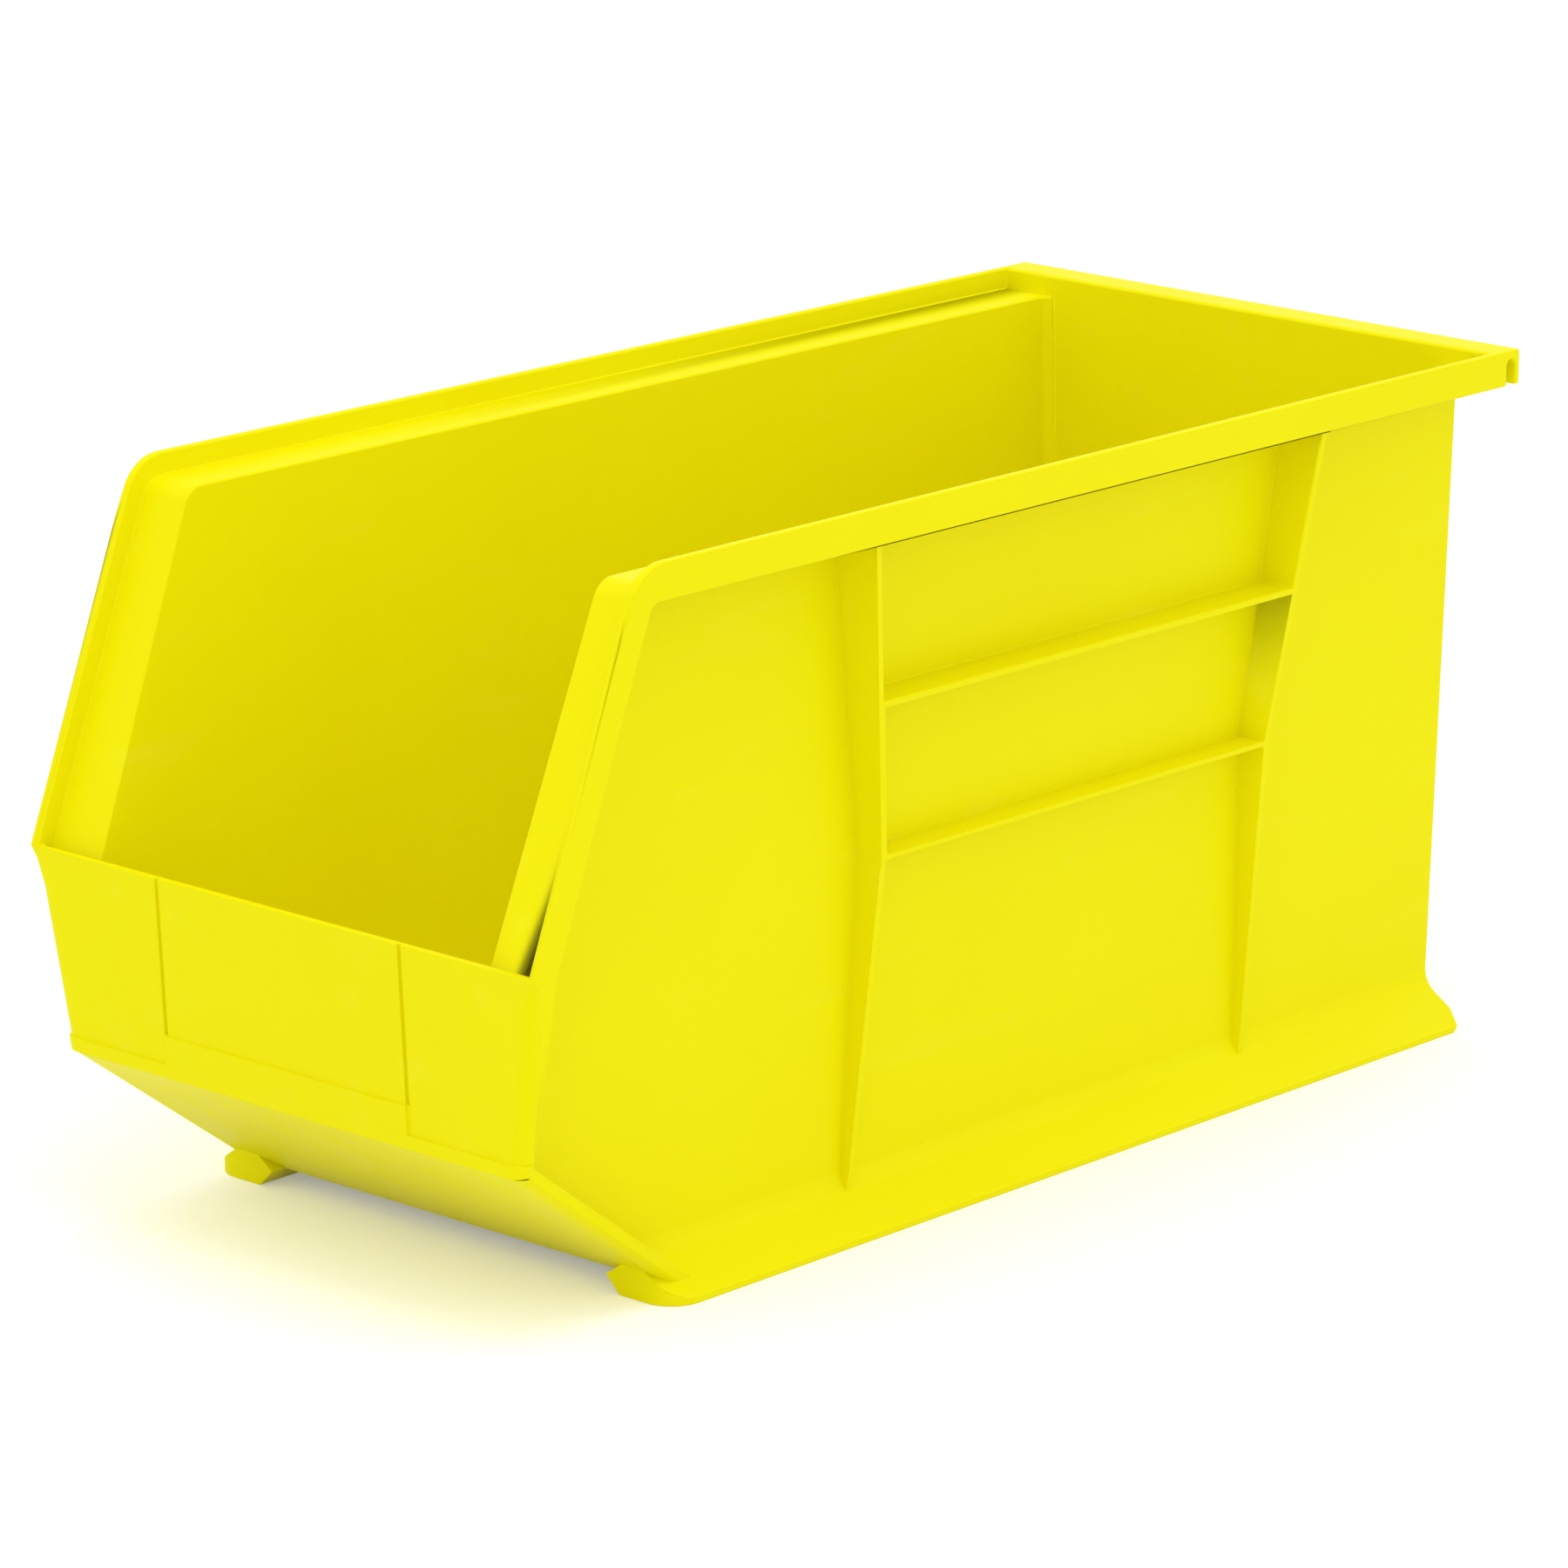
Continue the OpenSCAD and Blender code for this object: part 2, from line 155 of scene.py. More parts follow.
@dataclass(frozen=True)
class BinSizes:
    """The bin's sizes in mm, with the front panel's top edge at depth 0."""

    overall_width: float
    overall_depth: float
    overall_height: float
    wall: float
    wall_top_half: float
    wall_foot_half: float
    floor_lift: float
    panel_top: float
    panel_bottom: float
    rim_height: float
    ledge_drop: float
    rail_top: float
    panel_lean: float = 4.0
    slope_run: float = 43.5
    toe_run: float = 71.0
    panel_foot_half: float = 95.0
    toe_foot_half: float = 92.0
    rim_front_depth: float = 9.5
    rim_wall: float = 2.8
    rim_corner_r: float = 15.0
    skirt_depth: float = 5.4
    hanger_reach: float = 10.2
    lip_wall: float = 2.5
    cheek_reach: float = 3.5
    fin_span_top: float = 213.0
    fin_span_waist: float = 185.0
    fin_span_foot: float = 191.0
    fin_wall: float = 2.5
    fin_top_inset: float = 0.8
    fin_foot_depth: float = 3.0
    rib_wall: float = 2.0
    upper_rib_z: float = 166.5
    lower_rib_z: float = 117.0
    rail_tip_half: float = 98.0
    rail_inner_half: float = 71.0
    rail_front: float = 64.5
    rail_corner_r: float = 11.0
    rail_chamfer: float = 1.5
    rail_back_rise: float = 6.0
    label_width: float = 101.0
    slot_width: float = 1.5
    slot_depth: float = 1.2
    label_rest_z: float = 67.5
    base_band_z: float = 58.5
    band_relief: float = 1.0

    @classmethod
    def from_frame(cls) -> "BinSizes":
        """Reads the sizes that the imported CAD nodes' boxes give."""
        whole = [Vector(c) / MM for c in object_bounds()]
        front = whole[0].y

        def node(name: str) -> tuple[Vector, Vector]:
            low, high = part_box(name)
            return low / MM, high / MM

        floor, wall = node("floor_panel"), node("right_side_wall")
        rim, ledge, panel = node("right_side_rim"), node("right_side_ledge"), node("front_panel")
        band = node("panel_base_band")
        thick = floor[1].z - floor[0].z
        top = whole[1].z
        return cls(
            overall_width=whole[1].x - whole[0].x, overall_depth=whole[1].y - front,
            overall_height=top, wall=thick, wall_top_half=wall[1].x,
            wall_foot_half=floor[1].x + thick, floor_lift=floor[0].z, panel_top=panel[1].z,
            panel_bottom=band[0].z, rim_height=top - rim[0].z, ledge_drop=top - ledge[1].z,
            rail_top=wall[0].z)

    @property
    def half_width(self) -> float:
        """Half width across the rim."""
        return self.overall_width / 2

    @property
    def back_out(self) -> float:
        """Depth of the back wall's outside."""
        return self.overall_depth - self.hanger_reach

    @property
    def back_in(self) -> float:
        """Depth of the back wall's inside."""
        return self.back_out - self.wall

    @property
    def rim_under(self) -> float:
        """Height of the rim flange's lower edge."""
        return self.overall_height - self.rim_height

    @property
    def ledge_under(self) -> float:
        """Height of the ledge's underside."""
        return self.overall_height - self.ledge_drop - self.wall

    @property
    def fin_middle(self) -> float:
        """Depth halfway between the fins."""
        return (self.rail_front + self.back_out) / 2 - 4

    @property
    def waist_z(self) -> float:
        """Height at which the fins are closest."""
        return self.lower_rib_z + self.rib_wall / 2

    @property
    def top_line(self) -> Line:
        """The rim's top in the side view."""
        return line((self.overall_depth, self.overall_height), (self.slope_run, self.overall_height))

    @property
    def slope_line(self) -> Line:
        """The rim's sloped front."""
        return line((self.slope_run, self.overall_height), (0, self.panel_top))

    @property
    def panel_line(self) -> Line:
        """The front panel's face."""
        return line((0, self.panel_top), (self.panel_lean, self.panel_bottom))

    @property
    def toe_line(self) -> Line:
        """The toe's face."""
        return line((self.panel_lean, self.panel_bottom), (self.toe_run, self.floor_lift))

    def wall_x(self, z: float) -> float:
        """Half width of the side walls' outside at a height."""
        return between(z, self.rail_top, self.wall_foot_half, self.ledge_under, self.wall_top_half)

    def inner_x(self, z: float) -> float:
        """Half width of the side walls' inside at a height."""
        return self.wall_x(z) - self.wall

    def crest_x(self, z: float) -> float:
        """Half width across the crests of the fins and ribs at a height."""
        return between(z, self.rail_top, self.wall_foot_half + self.fin_foot_depth,
                       self.rim_under, self.half_width - self.fin_top_inset)

    def front_x(self, z: float) -> float:
        """Half width of the front at a height: it narrows below the rim and again below the panel."""
        if z >= self.panel_top:
            return self.half_width
        if z >= self.panel_bottom:
            return between(z, self.panel_bottom, self.panel_foot_half, self.panel_top, self.half_width)
        return between(z, self.floor_lift, self.toe_foot_half, self.panel_bottom, self.panel_foot_half)

    def strip_x(self, z: float) -> float:
        """Half width between the rim flanges, or between the front's return edges, at a height."""
        return self.front_x(z) - self.rim_wall

    def fin_reach(self, z: float) -> float:
        """Half gap between the fins' outer faces at a height."""
        if z >= self.waist_z:
            return between(z, self.waist_z, self.fin_span_waist / 2, self.rim_under, self.fin_span_top / 2)
        return between(z, self.rail_top, self.fin_span_foot / 2, self.waist_z, self.fin_span_waist / 2)


# ---------------------------------------------------------------- solids


def new_object(name: str, mesh: bpy.types.Mesh) -> bpy.types.Object:
    """Links a new object at the origin."""
    made = bpy.data.objects.new(name, mesh)
    bpy.context.scene.collection.objects.link(made)
    return made


def baked(obj: bpy.types.Object) -> bpy.types.Object:
    """Turns an object's modifiers into its plain mesh.

    Args:
        obj: the object, whose modifiers are removed.

    Returns:
        The same object.
    """
    graph = bpy.context.evaluated_depsgraph_get()
    mesh = bpy.data.meshes.new_from_object(obj.evaluated_get(graph))
    obj.modifiers.clear()
    old, obj.data = obj.data, mesh
    mesh.name = obj.name
    bpy.data.meshes.remove(old)
    return obj


def in_band(outline: Sequence[Vector], place: int, z0: float, z1: float) -> bool:
    """Says whether a point of an outline is a corner of the part of it between two heights.

    Args:
        outline: [depth, height] points in order.
        place: the point's place in the outline.
        z0: the lower height.
        z1: the upper height.

    Returns:
        True for a point between the heights, and for one at a height if the outline goes on into the
        band from there, or runs along that height with its inside towards the band.
    """
    near = 1e-4
    here = outline[place].y
    if z0 + near < here < z1 - near:
        return True
    if here < z0 - near or here > z1 + near:
        return False
    area = sum(a.x * b.y - b.x * a.y for a, b in zip(outline, [*outline[1:], outline[0]]))
    for step in (-1, 1):
        other = outline[(place + step) % len(outline)]
        if z0 + near < other.y < z1 - near or abs(other.y - here) > near and z0 < min(other.y, here) + near \
                and max(other.y, here) - near < z1:
            return True
        inside_up = (other.x - outline[place].x) * step * area > 0
        if abs(other.y - here) <= near and inside_up == (abs(here - z0) <= near):
            return True
    return False


def slab(name: str, outline: Sequence[Vector], low: HalfWidth, high: HalfWidth,
         kinks: Sequence[float] = ()) -> bpy.types.Object:
    """A solid whose side view is an outline and whose two sides follow a half width at each height.

    Args:
        name: the object's name.
        outline: [depth, height] points in order round the outline.
        low: X of the nearer side at a height.
        high: X of the farther side at a height.
        kinks: heights at which the sides bend; the outline has a point there on both its runs.

    Returns:
        The closed solid.
    """
    bm = bmesh.new()
    near = [bm.verts.new((low(p.y), p.x, p.y)) for p in outline]
    far = [bm.verts.new((high(p.y), p.x, p.y)) for p in outline]
    count = len(outline)
    for i in range(count):
        j = (i + 1) % count
        bm.faces.new((near[i], near[j], far[j], far[i]))
    levels = [-math.inf, *sorted(kinks), math.inf]
    for z0, z1 in zip(levels, levels[1:]):
        part = [i for i in range(count) if in_band(outline, i, z0, z1)]
        if len(part) > 2:
            bm.faces.new([near[i] for i in part])
            bm.faces.new([far[i] for i in reversed(part)])
    bmesh.ops.recalc_face_normals(bm, faces=bm.faces)
    mesh = bpy.data.meshes.new(name)
    bm.to_mesh(mesh)
    bm.free()
    return new_object(name, mesh)


def combine(target: bpy.types.Object, cut: Cut, *tools: bpy.types.Object) -> bpy.types.Object:
    """Joins solids to the target, carves them out of it, or keeps what they share with it.

    Args:
        target: the solid that is changed.
        cut: what the tools do.
        tools: the other solids, which are used up.

    Returns:
        The target.
    """
    for tool in tools:
        step = target.modifiers.new("combine", "BOOLEAN")
        step.operation, step.solver, step.object = cut.value, "MANIFOLD", tool
        baked(target)
        bpy.data.objects.remove(tool)
    return target


def tidy_mesh(obj: bpy.types.Object, gap: float = 2e-3, flat: float = 0.2) -> None:
    """Merges doubled points and joins coplanar faces.

    Args:
        obj: the solid.
        gap: how close two points are to be one, in mm.
        flat: the angle in degrees under which two faces are one.
    """
    bm = bmesh.new()
    bm.from_mesh(obj.data)
    bmesh.ops.remove_doubles(bm, verts=bm.verts, dist=gap)
    bmesh.ops.dissolve_degenerate(bm, edges=bm.edges, dist=gap)
    bmesh.ops.dissolve_limit(bm, angle_limit=math.radians(flat), verts=bm.verts, edges=bm.edges)
    bmesh.ops.recalc_face_normals(bm, faces=bm.faces)
    bm.to_mesh(obj.data)
    bm.free()


def ease_edges(obj: bpy.types.Object, radius: float, steps: int,
               chosen: Callable[[bmesh.types.BMEdge], bool]) -> None:
    """Rounds the chosen edges of a cutter or a block.

    Args:
        obj: the solid.
        radius: how far each rounding reaches from the edge, in mm.
        steps: how many facets each rounding has.
        chosen: says which edges are rounded.
    """
    bm = bmesh.new()
    bm.from_mesh(obj.data)
    bmesh.ops.bevel(bm, geom=[e for e in bm.edges if chosen(e)], offset=radius, offset_type="OFFSET",
                    segments=steps, profile=0.5, affect="EDGES", clamp_overlap=False)
    bm.to_mesh(obj.data)
    bm.free()


def extrusion(name: str, outline: Sequence[Point], axis: str, low: float, high: float) -> bpy.types.Object:
    """A straight solid with the same outline all along one axis.

    Args:
        name: the object's name.
        outline: points in order, as the two coordinates that are left when the axis is taken out.
        axis: "x", "y" or "z".
        low: where it starts on the axis.
        high: where it ends.

    Returns:
        The closed solid.
    """
    place = "xyz".index(axis)

    def corner(p: Point, depth: float) -> tuple[float, ...]:
        spot = list(p)
        spot.insert(place, depth)
        return tuple(spot)

    bm = bmesh.new()
    near = [bm.verts.new(corner(p, low)) for p in outline]
    far = [bm.verts.new(corner(p, high)) for p in outline]
    bm.faces.new(near)
    bm.faces.new(list(reversed(far)))
    for i in range(len(near)):
        j = (i + 1) % len(near)
        bm.faces.new((near[i], near[j], far[j], far[i]))
    bmesh.ops.recalc_face_normals(bm, faces=bm.faces)
    mesh = bpy.data.meshes.new(name)
    bm.to_mesh(mesh)
    bm.free()
    return new_object(name, mesh)


# ---------------------------------------------------------------- node helpers


def add_node(tree: bpy.types.NodeTree, kind: str, links: dict | None = None, **settings: object) -> bpy.types.Node:
    """Adds a node with its settings and links.

    Args:
        tree: the node tree.
        kind: the node's type.
        links: an output socket or a value for each input, by name or place.
        settings: the node's own properties.

    Returns:
        The node.
    """
    node = tree.nodes.new(kind)
    for key, value in settings.items():
        setattr(node, key, value)
    for key, value in (links or {}).items():
        if isinstance(value, bpy.types.NodeSocket):
            tree.links.new(value, node.inputs[key])
        else:
            node.inputs[key].default_value = value
    return node


def linear(hex_colour: str) -> tuple[float, float, float, float]:
    """An sRGB hex colour as linear red, green, blue and alpha."""
    parts = [int(hex_colour[i:i + 2], 16) / 255 for i in (1, 3, 5)]
    return (*(c / 12.92 if c <= 0.04045 else ((c + 0.055) / 1.055) ** 2.4 for c in parts), 1.0)


# ---------------------------------------------------------------- finishes


@dataclass(frozen=True)
class MouldedPolypropylene:
    """Injection-moulded polypropylene: saturated yellow through and through, a soft sheen from the
    fine spark-eroded grain of the mould, and faint rubs where bins slide on each other."""

    name: str = "moulded_polypropylene"
    colour: str = "#F2EC04"
    deep_colour: str = "#F0E602"
    rubbed_colour: str = "#F4EE3C"
    roughness: float = 0.42
    grain_mm: float = 0.9  # the real grain is about 0.2 mm; drawn coarser so that it shows
    flow_mm: float = 70.0
    scuff_mm: float = 14.0

    def build(self) -> bpy.types.Material:
        """Makes the material."""
        material = bpy.data.materials.new(self.name)
        material.use_nodes = True
        tree = material.node_tree
        tree.nodes.clear()
        place = add_node(tree, "ShaderNodeTexCoord").outputs["Object"]
        flow = add_node(tree, "ShaderNodeTexNoise", {"Vector": place, "Scale": 1 / (self.flow_mm * MM),
                                                     "Detail": 2.0, "Roughness": 0.45})
        hue = add_node(tree, "ShaderNodeMix", {"Factor": flow.outputs["Fac"], "A": linear(self.colour),
                                               "B": linear(self.deep_colour)}, data_type="RGBA")
        streak = add_node(tree, "ShaderNodeMapping", {"Vector": place, "Scale": (1.0, 0.16, 1.0)})
        scuff = add_node(tree, "ShaderNodeTexNoise", {"Vector": streak.outputs["Vector"],
                                                      "Scale": 1 / (self.scuff_mm * MM),
                                                      "Detail": 6.0, "Roughness": 0.62})
        rubbed = add_node(tree, "ShaderNodeMapRange", {"Value": scuff.outputs["Fac"], "From Min": 0.58,
                                                       "From Max": 0.75, "To Min": 0.0, "To Max": 0.22})
        colour = add_node(tree, "ShaderNodeMix", {"Factor": rubbed.outputs["Result"],
                                                  "A": hue.outputs["Result"],
                                                  "B": linear(self.rubbed_colour)}, data_type="RGBA")
        grain = add_node(tree, "ShaderNodeTexNoise", {"Vector": place, "Scale": 1 / (self.grain_mm * MM),
                                                      "Detail": 3.0, "Roughness": 0.6})
        bump = add_node(tree, "ShaderNodeBump", {"Height": grain.outputs["Fac"], "Strength": 0.10,
                                                 "Distance": 0.00025})
        sheen = add_node(tree, "ShaderNodeMapRange", {"Value": scuff.outputs["Fac"], "From Min": 0.3,
                                                      "From Max": 0.7, "To Min": self.roughness - 0.05,
                                                      "To Max": self.roughness + 0.07})
        plastic = add_node(tree, "ShaderNodeBsdfPrincipled", {
            "Base Color": colour.outputs["Result"], "Roughness": sheen.outputs["Result"],
            "Normal": bump.outputs["Normal"], "IOR": 1.49, "Specular IOR Level": 0.05})
        add_node(tree, "ShaderNodeOutputMaterial", {"Surface": plastic.outputs["BSDF"]})
        return material


# ---------------------------------------------------------------- the moulding's parts


@dataclass
class StiffenerPlates:
    """The fins and ribs on the side walls, made by one node tree from levels and edges."""

    sizes: BinSizes
    material: bpy.types.Material
    sunk: float = 1.0
    proud: float = 12.0
    rib_share: float = 0.8  # keeps the ribs' hidden faces off the fins'

    LEVELS = ("Foot", "Waist", "Top")

    def tree(self) -> bpy.types.NodeTree:
        """Builds the node tree: a plate whose edges follow the wall, its twin, and their mirror images."""
        tree = bpy.data.node_groups.new("stiffener_plates", "GeometryNodeTree")
        ports = tree.interface
        ports.new_socket("Geometry", in_out="INPUT", socket_type="NodeSocketGeometry")
        for level in self.LEVELS:
            for name in ("Height", "Near Edge", "Far Edge"):
                ports.new_socket(f"{level} {name}", in_out="INPUT", socket_type="NodeSocketFloat")
        for name in ("Foot Root", "Top Root", "Foot Crest", "Top Crest", "Middle"):
            ports.new_socket(name, in_out="INPUT", socket_type="NodeSocketFloat")
        ports.new_socket("Twin", in_out="INPUT", socket_type="NodeSocketBool")
        ports.new_socket("Finish", in_out="INPUT", socket_type="NodeSocketMaterial")
        ports.new_socket("Geometry", in_out="OUTPUT", socket_type="NodeSocketGeometry")
        given = add_node(tree, "NodeGroupInput").outputs
        cube = add_node(tree, "GeometryNodeMeshCube", {"Size": (1, 1, 1), "Vertices X": 2, "Vertices Y": 2,
                                                       "Vertices Z": 3})
        spot = add_node(tree, "ShaderNodeSeparateXYZ",
                        {"Vector": add_node(tree, "GeometryNodeInputPosition").outputs[0]})

        def ramp(value: bpy.types.NodeSocket, start: float, end: float, low: object,
                 high: object) -> bpy.types.NodeSocket:
            return add_node(tree, "ShaderNodeMapRange", {
                "Value": value, "From Min": start, "From Max": end, "To Min": low,
                "To Max": high}).outputs["Result"]

        def levelled(name: str) -> bpy.types.NodeSocket:
            lower = ramp(spot.outputs["Z"], -0.5, 0.0, given[f"Foot {name}"], given[f"Waist {name}"])
            return ramp(spot.outputs["Z"], 0.0, 0.5, lower, given[f"Top {name}"])

        height, near, far = (levelled(name) for name in ("Height", "Near Edge", "Far Edge"))

        def leaning(name: str) -> bpy.types.NodeSocket:
            return ramp(height, given["Foot Height"], given["Top Height"], given[f"Foot {name}"],
                        given[f"Top {name}"])

        across = ramp(spot.outputs["X"], -0.5, 0.5, leaning("Root"), leaning("Crest"))
        deep = ramp(spot.outputs["Y"], -0.5, 0.5, near, far)
        where = add_node(tree, "ShaderNodeCombineXYZ", {"X": across, "Y": deep, "Z": height})
        plate = add_node(tree, "GeometryNodeSetPosition", {"Geometry": cube.outputs["Mesh"],
                                                           "Position": where.outputs[0]})
        one = add_node(tree, "GeometryNodeGeometryToInstance", {"Geometry": plate.outputs[0]})
        twin = add_node(tree, "GeometryNodeTransform", {"Geometry": one.outputs[0], "Scale": (1, -1, 1)})
        kept = add_node(tree, "GeometryNodeSwitch", {"Switch": given["Twin"], "True": twin.outputs[0]},
                        input_type="GEOMETRY")
        both = add_node(tree, "GeometryNodeJoinGeometry")
        shift = add_node(tree, "ShaderNodeCombineXYZ", {"Y": given["Middle"]})
        moved = add_node(tree, "GeometryNodeTransform", {"Geometry": both.outputs[0],
                                                         "Translation": shift.outputs[0]})
        mirror = add_node(tree, "GeometryNodeTransform", {"Geometry": moved.outputs[0], "Scale": (-1, 1, 1)})
        sides = add_node(tree, "GeometryNodeJoinGeometry")
        for joined, parts in ((both, (one, kept)), (sides, (moved, mirror))):
            for part in parts:
                tree.links.new(part.outputs[0], joined.inputs[0])
        real = add_node(tree, "GeometryNodeRealizeInstances", {"Geometry": sides.outputs[0]})
        done = add_node(tree, "GeometryNodeSetMaterial", {"Geometry": real.outputs[0],
                                                          "Material": given["Finish"]})
        add_node(tree, "NodeGroupOutput", {"Geometry": done.outputs[0]})
        return tree

    def plates(self, tree: bpy.types.NodeTree, name: str, heights: Sequence[float],
               near: HalfWidth, far: HalfWidth, twin: bool, share: float = 1.0) -> bpy.types.Object:
        """Makes the plates between two runs of edges.

        Args:
            tree: the node tree.
            name: the object's name.
            heights: the foot's, waist's and top's height.
            near: depth of the nearer edge from the middle, at a height.
            far: depth of the farther edge from the middle, at a height.
            twin: whether the plate has a mirror image behind the middle.
            share: how much of the usual depth it sinks into the wall and stands past the crest.

        Returns:
            The plates of both sides as one plain mesh.
        """
        s = self.sizes
        values: dict[str, object] = {"Middle": s.fin_middle, "Twin": twin, "Finish": self.material}
        for level, z in zip(self.LEVELS, heights):
            values[f"{level} Height"] = z
            values[f"{level} Near Edge"], values[f"{level} Far Edge"] = near(z), far(z)
            if level != "Waist":
                values[f"{level} Root"] = s.wall_x(z) - self.sunk * share
                values[f"{level} Crest"] = s.crest_x(z) + self.proud * share
        made = new_object(name, bpy.data.meshes.new(name))
        step = made.modifiers.new("plates", "NODES")
        step.node_group = tree
        for socket in tree.interface.items_tree:
            if socket.in_out == "INPUT" and socket.name in values:
                step[socket.identifier] = values[socket.name]
        baked(made)
        bm = bmesh.new()
        bm.from_mesh(made.data)
        bmesh.ops.recalc_face_normals(bm, faces=bm.faces)
        bm.to_mesh(made.data)
        bm.free()
        return made

    def build(self) -> bpy.types.Object:
        """Makes the fins and ribs of both sides, with their crests trimmed to one slanted plane."""
        s = self.sizes
        tree = self.tree()
        top = s.ledge_under + self.sunk
        fins = self.plates(tree, "fins", (s.rail_top - s.fin_foot_depth, s.waist_z, top),
                           lambda z: s.fin_wall - s.fin_reach(z), lambda z: -s.fin_reach(z), True)
        for middle in (s.upper_rib_z, s.lower_rib_z):
            levels = [middle - SLIVER + step * s.rib_wall / 2 for step in (-1, 0, 1)]
            rib = self.plates(tree, "rib", levels, lambda z: self.sunk - s.fin_reach(z),
                              lambda z: s.fin_reach(z) - self.sunk, False, self.rib_share)
            combine(fins, Cut.JOIN, rib)
        low, high = -CLEAR, s.overall_height + CLEAR
        block = [Vector((-CLEAR, low)), Vector((s.overall_depth + CLEAR, low)),
                 Vector((s.overall_depth + CLEAR, high)), Vector((-CLEAR, high))]
        return combine(fins, Cut.SHARE, slab("crests", block, lambda z: -s.crest_x(z), s.crest_x))


@dataclass
class BaseRails:
    """The rails that the bin stands on, which flare out from the foot of the side walls."""

    sizes: BinSizes
    corner_steps: int = 8
    root_r: float = 9.0

    def build(self, side: Side) -> bpy.types.Object:
        """Makes one rail, with its front outer corner rounded in plan."""
        s = self.sizes
        tip, back = s.rail_tip_half, s.back_out
        drop = between(tip, s.wall_foot_half, s.rail_top, tip - s.rail_chamfer, 2 * s.rail_chamfer)
        high = s.rail_top + CLEAR
        foot = Vector((s.wall_foot_half - SLIVER, s.rail_top))
        root = rounded(foot, Vector((s.wall_x(high) - SLIVER, high)), Vector((tip, drop)), self.root_r, 7)
        end = [(s.inner_x(s.rail_top) - 1, s.rail_top - 3), (root[0].x - 1, root[0].y),
               *((p.x, p.y) for p in root), (tip, drop), (tip, 0.0),
               (s.rail_inner_half + s.floor_lift, 0.0), (s.rail_inner_half - 0.5, s.floor_lift + 0.5)]
        rail = extrusion("rail", [(side.value * x, z) for x, z in end], "y", s.rail_front - CLEAR, back)
        corner = Vector((tip, s.rail_front))
        arc = rounded(corner, corner + Vector((0, CLEAR)), corner - Vector((CLEAR, 0)),
                      s.rail_corner_r, self.corner_steps)
        plan = [(side.value * p.x, p.y) for p in
                (*arc, Vector((s.rail_inner_half - CLEAR, s.rail_front)),
                 Vector((s.rail_inner_half - CLEAR, back + CLEAR)), Vector((tip, back + CLEAR)))]
        combine(rail, Cut.SHARE, extrusion("plan", plan, "z", -CLEAR, s.rail_top + CLEAR))
        toe = s.toe_line
        profile = [Vector((s.rail_front, 0)), at_height(toe, s.rail_top + CLEAR),
                   Vector((back, s.rail_top + CLEAR)),
                   Vector((back, s.rail_back_rise)), Vector((back - s.rail_back_rise, 0))]
        profile.insert(1, Vector((s.rail_front, between(s.rail_front, toe[0].x, toe[0].y, toe[1].x, toe[1].y))))
        return combine(rail, Cut.SHARE, slab("profile", profile, lambda z: -s.half_width, lambda z: s.half_width))


